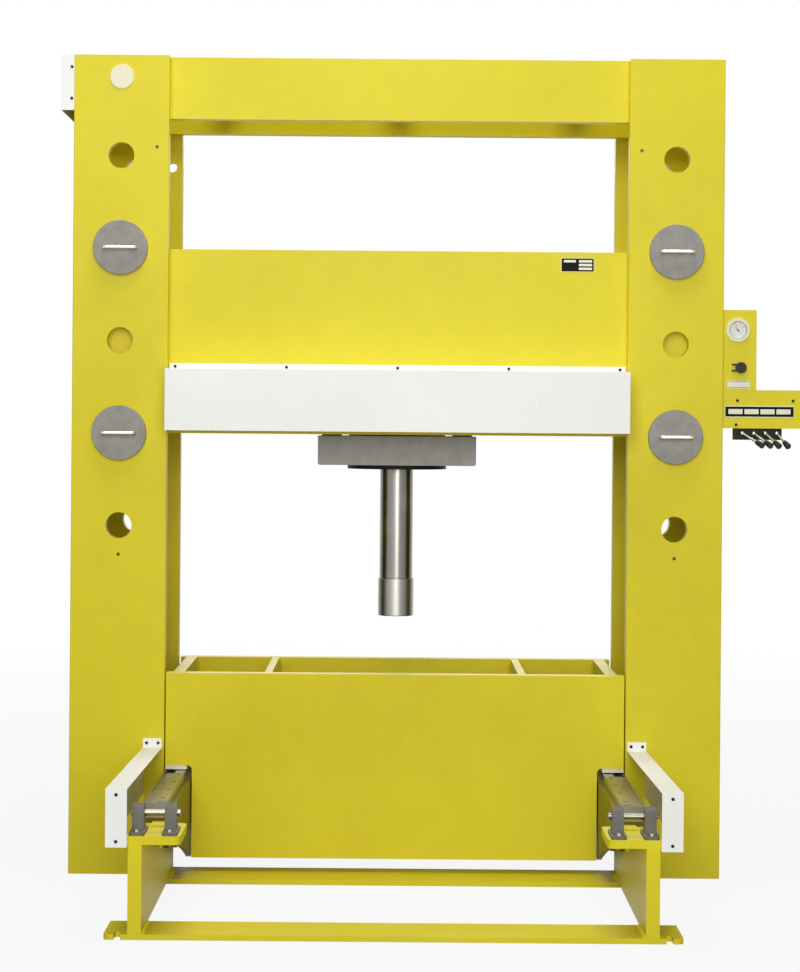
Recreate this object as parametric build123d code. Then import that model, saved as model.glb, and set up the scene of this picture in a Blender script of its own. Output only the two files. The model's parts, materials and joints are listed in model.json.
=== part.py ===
from build123d import *
from math import cos, pi, sin
import os

# X runs to the right, Y away from the viewer and Z up. The origin is on the floor,
# midway between the columns and midway through their depth. All sizes are millimetres.

# Frame: two columns, open towards each other, and a top beam
clear_width = 1524.0
column_width = 315.0
column_depth = 610.0
frame_height = 2710.0
frame_plate = 50.0
column_web_thickness = 25.0
foot_plate = 25.0
foot_plate_width = 250.0
anchor_hole_diameter = 27.0
anchor_spacing_y = 360.0
anchor_inset = 125.0
beam_height = 205.0
beam_plate = 50.0
beam_tube_diameter = 90.0
beam_tube_wall = 10.0
beam_tube_drop = 70.0
beam_tube_pitch = 600.0
edge_chamfer = 2.0

# Pin holes and the four pins that carry the head
pin_pitch = 306.0
pin_middle_height = 1766.0
pin_hole_diameter = 86.0
pin_diameter = 84.0
pin_tail = 20.0
pin_tip_chamfer = 6.0
pin_cap_diameter = 180.0
pin_cap_thickness = 20.0
pin_cap_gap = 0.3
pin_cap_edge = 2.0
pull_width = 116.0
pull_reach = 30.0
pull_rod = 11.0
pull_bend = 10.0
hole_rows = (-2, -1, 0, 1, 2)
small_hole_diameter = 12.0
upper_small_inset = 40.0
upper_small_drop = 304.0
lower_small_drop = 708.0
rope_hole_diameter = 34.0
rope_hole_inset = 36.0
rope_hole_drop = 318.0
plug_drop = 72.0
plug_diameter = 80.0
plug_thickness = 4.0
plug_edge = 2.0

# Head: two plates held apart by tubes, with ledges for the carriage
head_plate = 45.0
head_side_gap = 3.0
head_end_gap = 22.0
head_play = 6.0
saddle_clearance = 0.3
data_plate_width = 110.0
data_plate_height = 46.0
data_plate_inset = 166.0
data_plate_drop = 42.0
plate_thickness = 1.0
ledge_width = 30.0
ledge_height = 25.0
ledge_lift = 15.0
head_tube_diameter = 90.0
head_tube_wall = 10.0
head_tube_inset = 62.0
head_tube_row_drop = 140.0
head_end_tube_inset = 70.0

# Head cover: a folded sheet in front of the head
cover_sheet = 3.0
cover_side_gap = 3.0
cover_drop = 10.0
cover_height = 202.0
cover_flange = 20.0
cover_stand = 130.0
cover_screw_margin = 19.0
cover_screw_count = 5

# Carriage: a thick block under the head that carries the cylinder
block_width = 527.0
block_height = 97.0
block_gap = 5.0
block_corner = 8.0
hanger_width = 60.0
hanger_plate = 30.0
hanger_inset = 12.0
hanger_arm = 22.0
hanger_ledge_gap = 3.0
shoe_height = 10.0
shoe_side_gap = 1.5
shoe_gap = 0.3
head_wall_gap = 2.0

# Cylinder and ram
cylinder_outer = 330.0
cylinder_bore = 254.0
cylinder_height = 692.0
cylinder_end = 50.0
gland_flange = 337.0
gland_flange_height = 15.0
gland_spigot = 45.0
gland_bolt_circle = 296.0
gland_bolt_head = 24.0
gland_bolt_gap = 2.0
gland_bolt_count = 12
gland_bolt_sink = 8.0
gland_bolt_head_height = 5.0
rod_diameter = 112.0
running_clearance = 0.05
piston_height = 100.0
piston_ring_height = 8.0
piston_ring_depth = 2.0
piston_ring_places = (0.33, 0.67)
ram_down_stroke = 90.0
rod_shown = 373.0
nose_diameter = 120.0
nose_height = 128.0
nose_chamfer = 3.0
nose_groove = 1.5
nose_bore = 40.0
nose_bore_depth = 50.0

# Table: an open-topped weldment that rolls out to the front
table_side_gap = 6.0
table_depth = 660.0
table_top = 670.0
table_bottom = 61.0
table_plate = 50.0
table_wall = 38.0
table_wall_inset = 21.0
table_rib = 25.0
table_rib_offset = 420.0
table_edge = 3.0
notch_gap = 4.0
notch_top = 365.0
notch_radius = 16.0
wiper_height = 14.0
wiper_depth = 20.0
wiper_setback = 4.0
wiper_side_gap = 2.0

# Table rollers
roller_diameter = 80.0
roller_width = 13.0
roller_bore = 24.0
roller_edge = 1.5
roller_side_gap = 2.0
roller_inset = 100.0
roller_rail_gap = 0.3
axle_head = 34.0
axle_head_height = 3.0

# Rails and the plates below them
rail_width = 70.0
rail_height = 33.0
rail_top = 348.0
rail_column_gap = 5.0
rail_strip = 32.0
rail_lip = 5.0
rail_groove = 7.0
rail_front = 1035.0
rail_rear = 280.0
carrier_plate = 20.0
support_plate = 15.0
support_lap = 8.0
support_front = 1166.0
support_front_height = 225.0
support_mid_place = 660.0
support_mid_height = 150.0
support_bottom = 60.0
rail_screw_line = 20.0
rail_screw_pitch = 184.0
rail_screw_start = 64.0
rail_screw_count = 7
rail_screw_diameter = 10.0
rail_screw_head = 16.0
rail_screw_sink = 13.0
rail_screw_recess = 2.0

# Front frame that carries the rails in front of the columns
side_plate = 40.0
side_plate_inset = 33.0
side_plate_front = 1427.0
cross_plate = 16.0
front_cross_depth = 212.0
front_cross_reach = 77.0
front_cross_radius = 18.0
anchor_slot = 20.0
anchor_slot_depth = 46.0
anchor_slot_inset = 40.0
rear_cross_front = 487.0
rear_cross_rear = 247.0
rear_cross_reach = 28.0
shelf_inner_inset = 144.0
shelf_outer_reach = 8.0
shelf_corner = 20.0
shelf_top = 300.0
shelf_height = 25.0
pad_height = 5.0
pad_width = 46.0
pad_length = 84.0
pad_stud = 10.0
pad_stud_drop = 14.0
pad_stud_inset = 84.0
pad_stud_setback = 44.0

# Pillow blocks and the shafts that turn in them
shaft_diameter = 20.0
shaft_chamfer = 2.0
shaft_inner_margin = 4.0
shaft_outer_margin = 2.0
shaft_lift = 58.0
outer_block_inset = 17.0
inner_block_inset = 112.0
pillow_base_width = 44.0
pillow_base_length = 148.0
pillow_base_height = 10.0
pillow_base_corner = 8.0
pillow_boss_width = 34.0
pillow_boss_radius = 29.0
pillow_waist_radius = 34.0
pillow_setback = 2.0
pillow_oil_hole = 8.0
pillow_bolt_spacing = 112.0
pillow_bolt_diameter = 10.0
pillow_bolt_flats = 16.0
pillow_bolt_head = 7.0

# Guards: white folded channels beside the rails
guard_sheet = 3.0
guard_width = 62.0
guard_front = 1455.0
guard_bottom = 271.0
guard_front_height = 169.0
guard_rear_height = 149.0
guard_tab = 30.0
guard_return = 62.0
guard_screw_margin = 17.0
guard_front_screw_inset = 12.0

# Small sheet screws
sheet_screw_diameter = 5.0
sheet_screw_head = 10.0
sheet_screw_head_height = 3.0
sheet_screw_dome = 1.8
sheet_screw_bite = 8.0

# Hoist cover: a white box high on the left column
hoist_width = 44.0
hoist_top_gap = 1.0
hoist_height = 183.0
hoist_screw_edge = 8.0
hoist_screw_margins = (40.0, 144.0)

# Control box on the right column
box_setback = 10.0
box_depth = 120.0
box_sheet = 3.0
box_radius = 5.0
box_bottom = 1491.0
box_step = 127.0
box_top = 392.0
box_upper_width = 111.0
box_lower_width = 263.0
box_screw_places = ((49.0, 92.0), (233.0, 92.0), (45.0, 12.0))

# Pressure gauge
gauge_x = 49.0
gauge_height = 325.0
bezel_diameter = 80.0
bezel_height = 7.0
gauge_case_diameter = 66.0
gauge_case_depth = 32.0
gauge_wall = 3.0
bezel_edge = 2.0
dial_thickness = 1.0
dial_sink = 8.0
glass_thickness = 2.0
glass_sink = 1.5
needle_length = 25.0
needle_tail = 8.0
needle_width = 2.4
needle_thickness = 0.8
needle_gap = 0.8
needle_hub = 6.0
needle_angle = 35.0
needle_post = 1.6
needle_post_length = 6.0

# Selector knob
knob_x = 59.0
knob_height = 201.0
knob_diameter = 36.0
knob_grip_width = 8.0
knob_grip_length = 29.0
knob_grip_height = 8.0
knob_height_out = 14.0
knob_stem = 10.0
knob_stem_length = 14.0
knob_skirt = 3.0
knob_horn_reach = 31.0
knob_horn_spread = 10.0
knob_horn = 5.0
knob_edge = 1.0

# Plain plates on the control box
label_left = 16.0
label_bottom = 132.0
label_width = 73.0
label_height = 26.0
strip_left = 8.0
strip_bottom = 36.0
strip_width = 228.0
strip_height = 39.0

# Valve block and its four levers
valve_pitch = 38.0
valve_count = 4
valve_start = 46.5
valve_height = 38.0
valve_depth = 90.0
valve_setback = 14.0
valve_groove = 3.0
bonnet_diameter = 20.0
bonnet_length = 8.0
lever_height = 22.0
lever_rod = 8.0
lever_ball = 13.0
lever_ball_gap = 0.3
lever_leans = (40.0, 32.0, 24.0, 18.0)
lever_reach = 50.0
lever_drop = 28.0
lever_knob_diameter = 22.0
lever_knob_tip = 16.0
lever_knob_length = 34.0
lever_knob_edge = 4.0

# How near to a place an edge or corner must lie to be picked
near = 0.01

# Places that follow from the sizes above
inner_x = clear_width / 2
outer_x = inner_x + column_width
half_depth = column_depth / 2
plate_inside = half_depth - frame_plate
pin_x = inner_x + column_width / 2
pin_top = pin_middle_height + pin_pitch
pin_bottom = pin_middle_height - pin_pitch
head_face = plate_inside - head_side_gap
head_inside = head_face - head_plate
head_half = outer_x - column_web_thickness - head_end_gap
ledge_top = pin_bottom + ledge_lift + ledge_height
block_top = pin_bottom - block_gap
block_bottom = block_top - block_height
cylinder_top = block_bottom + cylinder_height
gland_face = block_bottom - gland_flange_height
nose_top = gland_face - rod_shown
gland_inner = block_bottom + gland_spigot
piston_bottom = gland_inner + ram_down_stroke + head_wall_gap
rail_outer = inner_x - rail_column_gap
rail_inner = rail_outer - rail_width
rail_base = rail_top - rail_height
groove_floor = rail_top - rail_groove
carrier_base = rail_base - carrier_plate
shelf_base = shelf_top - shelf_height
side_plate_inner = inner_x - side_plate_inset
front_cross_half = inner_x + front_cross_reach
anchor_slot_offset = front_cross_half - anchor_slot_inset
rear_cross_half = inner_x + rear_cross_reach
shelf_inner = inner_x - shelf_inner_inset
shelf_outer = inner_x + shelf_outer_reach
outer_block_centre = inner_x - outer_block_inset
inner_block_centre = inner_x - inner_block_inset
table_half = inner_x - table_side_gap
notch_half_width = rail_inner - support_plate - notch_gap
table_front = table_depth / 2
wall_outer = table_half - table_wall_inset
wall_inner = wall_outer - table_wall
roller_x = wall_outer + roller_side_gap
roller_y = table_front - roller_inset
roller_z = groove_floor + roller_rail_gap + roller_diameter / 2
shaft_y = -(side_plate_front - pillow_setback - pillow_base_length / 2)
shaft_z = shelf_top + shaft_lift
box_face = half_depth - box_setback
valve_face = box_face - valve_setback
lever_y = -(valve_face + bonnet_length + lever_ball_gap + lever_ball / 2)
lever_z = box_bottom - valve_height + lever_height


# Shared forms

def plate_xz(outline, front, thickness):
    """An outline in X and Z, made a plate that runs back from its front face."""
    return extrude(Plane.XZ.offset(-(front + thickness)) * outline, amount=thickness)


def plate_yz(outline, left, thickness):
    """An outline in Y and Z, made a plate that runs right from its left face."""
    return extrude(Plane.YZ.offset(left) * outline, amount=thickness)


def plate_xy(outline, bottom, thickness):
    """An outline in X and Y, made a plate that runs up from its lower face."""
    return extrude(Plane.XY.offset(bottom) * outline, amount=thickness)


def span(low_u, high_u, low_v, high_v):
    """A rectangle given by its sides."""
    return Pos((low_u + high_u) / 2, (low_v + high_v) / 2) * Rectangle(high_u - low_u, high_v - low_v)


def rod_y(x, z, front, rear, diameter):
    """A round bar along Y."""
    return plate_xz(Pos(x, z) * Circle(diameter / 2), front, rear - front)


def rod_x(y, z, left, right, diameter):
    """A round bar along X."""
    return plate_yz(Pos(y, z) * Circle(diameter / 2), left, right - left)


def rod_z(x, y, bottom, top, diameter):
    """A round bar along Z."""
    return plate_xy(Pos(x, y) * Circle(diameter / 2), bottom, top - bottom)


def tube_y(x, z, front, rear, outer, wall):
    """A round tube along Y."""
    return plate_xz(Pos(x, z) * (Circle(outer / 2) - Circle(outer / 2 - wall)), front, rear - front)


def mirrored(part):
    """The same piece on the left side."""
    return mirror(part, Plane.YZ)


def edges_at(part, y):
    """The edges that lie in the upright plane across the press at Y."""
    return part.edges().filter_by_position(Axis.Y, y - near, y + near)


def sheet_screw_y(x, z, face):
    """A pan-head screw driven backwards through a sheet whose face looks at the viewer."""
    head = Pos(x, face, z) * Rot(90, 0, 0) * Cylinder(
        sheet_screw_head / 2, sheet_screw_head_height, align=(Align.CENTER, Align.CENTER, Align.MIN))
    rim = head.faces().sort_by(Axis.Y)[0].edges()
    return fillet(rim, sheet_screw_dome) + rod_y(x, z, face, face + sheet_screw_bite, sheet_screw_diameter)


def screw_hole_y(x, z, face):
    """The hole that such a screw fills."""
    return rod_y(x, z, face, face + sheet_screw_bite, sheet_screw_diameter)


# Frame

def column_outline():
    """The outline shared by the right column's front and rear plates."""
    outline = span(inner_x, outer_x, 0, frame_height)
    for row in hole_rows:
        outline -= Pos(pin_x, pin_middle_height + row * pin_pitch) * Circle(pin_hole_diameter / 2)
    return outline


def column_front_plate():
    """The right column's front plate, with two small holes beside the pin holes."""
    small = Circle(small_hole_diameter / 2)
    outline = column_outline() - Pos(inner_x + upper_small_inset, frame_height - upper_small_drop) * small
    outline -= Pos(pin_x, pin_middle_height - lower_small_drop) * small
    plate = plate_xz(outline, -half_depth, frame_plate)
    plate = chamfer(edges_at(plate, -half_depth).filter_by(Axis.Z), edge_chamfer)
    for x, z, face in guard_screw_places()[:2]:
        plate -= screw_hole_y(x, z, face)
    return plate


def column_rear_plate():
    """The right column's rear plate."""
    return plate_xz(column_outline(), plate_inside, frame_plate)


def column_rear_plate_left():
    """The left rear plate, with one more hole for the hoist rope."""
    height = frame_height - rope_hole_drop
    hole = rod_y(-(inner_x + rope_hole_inset), height, plate_inside, half_depth, rope_hole_diameter)
    return mirrored(column_rear_plate()) - hole


def column_web():
    """The right column's outer web and the foot plate that is bolted to the floor."""
    web = plate_yz(span(-plate_inside, plate_inside, 0, frame_height), outer_x - column_web_thickness,
                   column_web_thickness)
    foot_outer = outer_x - column_web_thickness
    foot = span(foot_outer - foot_plate_width, foot_outer, -plate_inside, plate_inside)
    for side in (-1, 1):
        foot -= Pos(foot_outer - anchor_inset, side * anchor_spacing_y / 2) * Circle(anchor_hole_diameter / 2)
    return web + plate_xy(foot, 0, foot_plate)


def column_plug():
    """The domed plug that closes a hole high in the left column."""
    plug = rod_y(-pin_x, frame_height - plug_drop, -half_depth - plug_thickness, -half_depth, plug_diameter)
    return fillet(edges_at(plug, -half_depth - plug_thickness), plug_edge)


def beam_outline():
    """The outline shared by the top beam's plates."""
    half = outer_x - column_web_thickness
    return span(-half, half, frame_height - beam_height, frame_height)


def beam_front_plate():
    """The top beam's front plate, behind the column plates."""
    return plate_xz(beam_outline(), -plate_inside, beam_plate)


def beam_rear_plate():
    """The top beam's rear plate with the tubes that reach the front plate."""
    inside = plate_inside - beam_plate
    rear = plate_xz(beam_outline(), inside, beam_plate)
    for x in (-beam_tube_pitch, 0, beam_tube_pitch):
        rear += tube_y(x, frame_height - beam_tube_drop, -inside, inside, beam_tube_diameter, beam_tube_wall)
    return rear


# Pins

def pin(x, z):
    """A pin with a flat round cap and a bent pull handle."""
    length = column_depth + pin_tail
    seat = -half_depth - pin_cap_gap
    face = seat - pin_cap_thickness
    shaft = rod_y(x, z, seat, seat + length, pin_diameter)
    shaft = chamfer(edges_at(shaft, seat + length), pin_tip_chamfer)
    cap = rod_y(x, z, face, seat, pin_cap_diameter)
    cap = fillet(edges_at(cap, face), pin_cap_edge)
    half = pull_width / 2 - pull_rod / 2
    reach = face - pull_reach + pull_rod / 2
    path = FilletPolyline(
        (x - half, face + pin_cap_thickness / 2, z),
        (x - half, reach, z),
        (x + half, reach, z),
        (x + half, face + pin_cap_thickness / 2, z),
        radius=pull_bend,
    )
    pull = sweep(Plane(path @ 0, z_dir=path % 0) * Circle(pull_rod / 2), path=path)
    return shaft + cap + pull


# Head

def head_outline():
    """The head plate with a half-round saddle for each pin."""
    outline = span(-head_half, head_half, pin_bottom, pin_top)
    radius = pin_diameter / 2 + saddle_clearance
    for side in (-1, 1):
        outline -= Pos(side * pin_x, pin_bottom) * Circle(radius)
        outline -= Pos(side * pin_x, pin_top - head_play) * Circle(radius)
        outline -= span(side * pin_x - radius, side * pin_x + radius, pin_top - head_play, pin_top)
    return outline


def ledge():
    """The profile, in Y and Z, of the bar that the carriage hangs on."""
    base = pin_bottom + ledge_lift
    return span(head_inside - ledge_width, head_inside, base, base + ledge_height)


def head_rear_plate():
    """The rear plate of the head with its ledge."""
    plate = plate_xz(head_outline(), head_inside, head_plate)
    return plate + plate_yz(ledge(), -inner_x, clear_width)


def head_front_plate():
    """The front plate, with holes for the cover's screws."""
    plate = mirror(head_rear_plate(), Plane.XZ)
    for x in cover_screw_line():
        plate -= screw_hole_y(x, cover_screw_height(), -head_face - cover_sheet)
    return plate


def head_spacers():
    """Tubes that hold the head's plates apart, clear of the carriage's travel."""
    low = pin_bottom + head_tube_row_drop
    high = pin_top - head_tube_row_drop
    places = [(inner_x - head_tube_inset, z) for z in (low, high)]
    places.append((head_half - head_end_tube_inset, (low + high) / 2))
    return [
        tube_y(side * x, z, -head_inside, head_inside, head_tube_diameter, head_tube_wall)
        for side in (-1, 1) for x, z in places
    ]


def cover_bottom():
    """Height of the cover's lower edge."""
    return pin_bottom + cover_drop


def cover_screw_height():
    """Height of the row of screws in the cover's flange."""
    return cover_bottom() + cover_height + cover_flange / 2


def cover_screw_line():
    """Places of the cover's screws along X."""
    reach = inner_x - cover_side_gap - cover_screw_margin
    pitch = 2 * reach / (cover_screw_count - 1)
    return [n * pitch - reach for n in range(cover_screw_count)]


def head_cover():
    """A folded sheet: a flange, a top, a deep face, a bottom lip and two closed ends."""
    low = cover_bottom()
    high = low + cover_height
    face = -half_depth - cover_stand
    back = -head_face
    half = inner_x - cover_side_gap
    profile = Polygon(
        (back, high + cover_flange), (back - cover_sheet, high + cover_flange), (back - cover_sheet, high),
        (face, high), (face, low), (back, low), (back, low + cover_sheet),
        (face + cover_sheet, low + cover_sheet), (face + cover_sheet, high - cover_sheet),
        (back, high - cover_sheet), align=None)
    shell = plate_yz(profile, -half, 2 * half)
    end = plate_yz(span(face, back, low, high), half - cover_sheet, cover_sheet)
    shell = shell + end + mirrored(end)
    for x in cover_screw_line():
        shell -= screw_hole_y(x, cover_screw_height(), back - cover_sheet)
    return shell


# Carriage and cylinder

def hanger_arm_base():
    """Height of the underside of the hanger arms, on top of their shoes."""
    return ledge_top + shoe_gap + shoe_height


def hanger():
    """One hanger: a post beside the ledge with an arm over it, as a profile in Y and Z."""
    outer = head_inside - ledge_width - hanger_ledge_gap
    arm_base = hanger_arm_base()
    return Polygon(
        (outer - hanger_plate, block_top), (outer, block_top), (outer, arm_base),
        (head_inside - head_wall_gap, arm_base), (head_inside - head_wall_gap, arm_base + hanger_arm),
        (outer - hanger_plate, arm_base + hanger_arm), align=None)


def hanger_lefts():
    """Left ends of the hangers along X."""
    edge = block_width / 2 - hanger_inset
    return (-edge, edge - hanger_width)


def carriage_block():
    """The block, bored for the cylinder, with its four hangers."""
    half = block_width / 2
    outline = span(-half, half, block_bottom, block_top)
    outline = fillet(outline.vertices().group_by(Axis.Y)[0], block_corner)
    block = plate_xz(outline, -head_face, 2 * head_face)
    block -= rod_z(0, 0, block_bottom, block_top, cylinder_outer)
    rear = [plate_yz(hanger(), left, hanger_width) for left in hanger_lefts()]
    return block + rear + [mirror(part, Plane.XZ) for part in rear]


def carriage_shoes():
    """Bronze pads under the hanger arms."""
    base = ledge_top + shoe_gap
    inner = head_inside - ledge_width + shoe_side_gap
    pad = span(inner, head_inside - head_wall_gap, base, base + shoe_height)
    rear = [plate_yz(pad, left, hanger_width) for left in hanger_lefts()]
    return rear + [mirror(part, Plane.XZ) for part in rear]


def cylinder_barrel():
    """The barrel, open below for the gland and closed above, with a rounded top edge."""
    bore = cylinder_bore / 2
    outer = cylinder_outer / 2
    profile = Polygon(
        (bore, block_bottom), (outer, block_bottom), (outer, cylinder_top - block_corner),
        (outer - block_corner, cylinder_top), (0, cylinder_top), (0, cylinder_top - cylinder_end),
        (bore, cylinder_top - cylinder_end), align=None)
    return revolve(Plane.XZ * profile, Axis.Z)


def gland_bolt_places():
    """Places of the gland bolts in X and Y."""
    turn = 2 * pi / gland_bolt_count
    radius = gland_bolt_circle / 2
    return [(radius * cos(n * turn), radius * sin(n * turn)) for n in range(gland_bolt_count)]


def cylinder_gland():
    """The flanged gland that guides the ram, with its sunk bolt heads."""
    rod = rod_diameter / 2 + running_clearance
    profile = Polygon(
        (rod, gland_face), (gland_flange / 2, gland_face), (gland_flange / 2, block_bottom),
        (cylinder_bore / 2, block_bottom), (cylinder_bore / 2, gland_inner), (rod, gland_inner), align=None)
    gland = revolve(Plane.XZ * profile, Axis.Z)
    sink = gland_face + gland_bolt_sink
    for x, y in gland_bolt_places():
        gland -= rod_z(x, y, gland_face, sink, gland_bolt_head + gland_bolt_gap)
        gland += rod_z(x, y, sink - gland_bolt_head_height, sink, gland_bolt_head)
    return gland


def ram_rod():
    """The polished rod with its piston, which has two ring grooves."""
    radius = cylinder_bore / 2 - running_clearance
    ram = rod_z(0, 0, nose_top, piston_bottom, rod_diameter)
    ram += rod_z(0, 0, piston_bottom, piston_bottom + piston_height, 2 * radius)
    for share in piston_ring_places:
        low = piston_bottom + piston_height * share - piston_ring_height / 2
        ram -= plate_xy(Circle(radius) - Circle(radius - piston_ring_depth), low, piston_ring_height)
    return ram


def ram_nose():
    """The nose that screws on the rod: a chamfered cap with a socket below for tooling."""
    low = nose_top - nose_height
    radius = nose_diameter / 2
    profile = Polygon(
        (nose_bore / 2, low), (radius - nose_chamfer, low), (radius, low + nose_chamfer),
        (radius, nose_top - nose_groove), (radius - nose_groove, nose_top), (0, nose_top),
        (0, low + nose_bore_depth), (nose_bore / 2, low + nose_bore_depth), align=None)
    return revolve(Plane.XZ * profile, Axis.Z)


# Table

def table_outline():
    """The front plate of the table, notched below both ends to clear the rails."""
    corners = (
        (-table_half, table_top), (-table_half, notch_top), (-notch_half_width, notch_top),
        (-notch_half_width, table_bottom), (notch_half_width, table_bottom), (notch_half_width, notch_top),
        (table_half, notch_top), (table_half, table_top))
    outline = Polygon(*corners, align=None)
    beside = [v for v in outline.vertices() if abs(abs(v.X) - notch_half_width) < near]
    return fillet([v for v in beside if v.Y > notch_top - near], notch_radius)


def table_front_plate():
    """The table's front plate, with its upper edges eased."""
    front = plate_xz(table_outline(), -table_front, table_plate)
    top = edges_at(front, -table_front).filter_by(Axis.X).sort_by(Axis.Z)[-1]
    return fillet(top, table_edge)


def table_walls():
    """The right end wall with its roller axles and the right rib."""
    inside = table_front - table_plate
    wall = plate_yz(span(-inside, inside, notch_top, table_top), wall_inner, table_wall)
    for axle in axles():
        wall += axle
    rib_outline = span(-inside, inside, table_bottom, table_top)
    rib = plate_yz(rib_outline, table_rib_offset - table_rib / 2, table_rib)
    right = [wall, rib]
    return right + [mirrored(part) for part in right]


def table_wipers():
    """Strips under the notches that sweep the rails, front and rear."""
    outline = span(
        rail_inner - wiper_side_gap, rail_outer - wiper_side_gap / 2, notch_top - wiper_height, notch_top)
    corner = outline.vertices().group_by(Axis.X)[0].group_by(Axis.Y)[0]
    strip = plate_xz(fillet(corner, wiper_setback), -table_front + wiper_setback, wiper_depth)
    right = [strip, mirror(strip, Plane.XZ)]
    return right + [mirrored(part) for part in right]


def axles():
    """Stub axles on the right wall, each with a retaining head."""
    diameter = roller_bore - 2 * running_clearance
    end = roller_x + roller_width + running_clearance
    parts = []
    for side in (-1, 1):
        parts.append(rod_x(side * roller_y, roller_z, wall_outer, end + axle_head_height, diameter))
        parts.append(rod_x(side * roller_y, roller_z, end, end + axle_head_height, axle_head))
        parts.append(rod_x(side * roller_y, roller_z, wall_outer, roller_x - running_clearance, axle_head))
    return parts


def roller(side):
    """A crowned roller on the right wall, before or behind the middle."""
    ring = Circle(roller_diameter / 2) - Circle(roller_bore / 2)
    tyre = plate_yz(Pos(side * roller_y, roller_z) * ring, roller_x, roller_width)
    outer = tyre.edges().filter_by(GeomType.CIRCLE).group_by(SortBy.RADIUS)[-1]
    return chamfer(outer, roller_edge)


# Rails

def rail_screw_places():
    """Places of the rail screws along Y."""
    return [-rail_front + rail_screw_start + n * rail_screw_pitch for n in range(rail_screw_count)]


def rail():
    """The right rail: a raised strip with sunk screws, a groove for the rollers and an outer lip."""
    profile = span(rail_inner, rail_outer, rail_base, rail_top)
    profile -= span(rail_inner + rail_strip, rail_outer - rail_lip, groove_floor, rail_top)
    bar = plate_xz(profile, -rail_front, rail_front + rail_rear)
    x = rail_inner + rail_screw_line
    for y in rail_screw_places():
        bar -= rod_z(x, y, rail_top - rail_screw_sink, rail_top, rail_screw_head)
        bar -= rod_z(x, y, rail_base, rail_top, rail_screw_diameter)
    return bar


def rail_screws():
    """Cap screws, sunk in both rails."""
    x = rail_inner + rail_screw_line
    parts = []
    for y in rail_screw_places():
        head = rod_z(x, y, rail_top - rail_screw_sink, rail_top - rail_screw_recess, rail_screw_head)
        parts.append(head + rod_z(x, y, rail_base, rail_top - rail_screw_sink, rail_screw_diameter))
    return parts + [mirrored(part) for part in parts]


def rail_support():
    """The plate that carries the right rail and its inner plate with a curved lower edge."""
    carrier = span(rail_inner, inner_x, carrier_base, rail_base)
    carrier = plate_xz(carrier, -support_front, support_front + rail_rear)
    curve = ThreePointArc(
        (-support_front, support_front_height), (-support_mid_place, support_mid_height),
        (-half_depth, support_bottom))
    lines = curve + Polyline(
        curve @ 1, (rail_rear, support_bottom), (rail_rear, rail_base + support_lap),
        (-support_front, rail_base + support_lap), curve @ 0)
    return carrier + plate_yz(make_face(lines), rail_inner - support_plate, support_plate)


# Front frame

def side_frame():
    """The right side plate with the shelf for the pillow blocks."""
    outline = Polygon(
        (-side_plate_front, cross_plate), (-half_depth, cross_plate), (-half_depth, carrier_base),
        (-support_front, carrier_base), (-support_front, shelf_base), (-side_plate_front, shelf_base),
        align=None)
    side = plate_yz(outline, side_plate_inner, side_plate)
    shelf = span(shelf_inner, shelf_outer, -side_plate_front, -support_front)
    shelf = plate_xy(fillet(shelf.vertices().group_by(Axis.X)[0], shelf_corner), shelf_base, shelf_height)
    pad_left = (inner_block_centre + outer_block_centre - pad_width) / 2
    pad = span(pad_left, pad_left + pad_width, -support_front - pad_length, -support_front)
    stud_y = -side_plate_front + pad_stud_setback
    stud = rod_z(inner_x - pad_stud_inset, stud_y, shelf_base - pad_stud_drop, shelf_base, pad_stud)
    return side + shelf + plate_xy(pad, shelf_top, pad_height) + stud


def front_cross_plate():
    """The flat plate across the front of the frame, with an anchor slot at each end."""
    front = -side_plate_front
    outline = span(-front_cross_half, front_cross_half, front, front + front_cross_depth)
    outline = fillet(outline.vertices().group_by(Axis.Y)[0], front_cross_radius)
    reach = anchor_slot_depth - anchor_slot / 2
    for middle in (-anchor_slot_offset, anchor_slot_offset):
        outline -= span(middle - anchor_slot / 2, middle + anchor_slot / 2, front, front + reach)
        outline -= Pos(middle, front + reach) * Circle(anchor_slot / 2)
    return plate_xy(outline, 0, cross_plate)


def rear_cross_plate():
    """The flat plate across the rear of the front frame, reaching in between the columns."""
    outline = span(-rear_cross_half, rear_cross_half, -rear_cross_front, -half_depth)
    return plate_xy(outline + span(-inner_x, inner_x, -half_depth, -rear_cross_rear), 0, cross_plate)


def pillow_block(centre):
    """A cast pillow block: a long foot, a waisted body and a round boss."""
    half = pillow_base_length / 2
    foot_top = shelf_top + pillow_base_height
    width = pillow_base_width / 2
    foot = span(centre - width, centre + width, shaft_y - half, shaft_y + half)
    foot = plate_xy(foot, shelf_top, pillow_base_height)
    foot = fillet(foot.edges().filter_by(Axis.Z), pillow_base_corner)
    body = Pos(shaft_y, shaft_z) * Circle(pillow_boss_radius)
    body += Polygon(
        (shaft_y - pillow_waist_radius, foot_top), (shaft_y + pillow_waist_radius, foot_top),
        (shaft_y + pillow_boss_radius, shaft_z), (shaft_y - pillow_boss_radius, shaft_z), align=None)
    boss = plate_yz(body, centre - pillow_boss_width / 2, pillow_boss_width)
    block = foot + boss
    block -= rod_x(shaft_y, shaft_z, centre - pillow_base_width, centre + pillow_base_width,
                   shaft_diameter + 2 * running_clearance)
    oil_top = shaft_z + 2 * pillow_boss_radius
    block -= rod_z(centre, shaft_y, shaft_z + shaft_diameter, oil_top, pillow_oil_hole)
    for side in (-1, 1):
        y = shaft_y + side * pillow_bolt_spacing / 2
        block -= rod_z(centre, y, shelf_top, foot_top, pillow_bolt_diameter)
    return block


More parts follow.
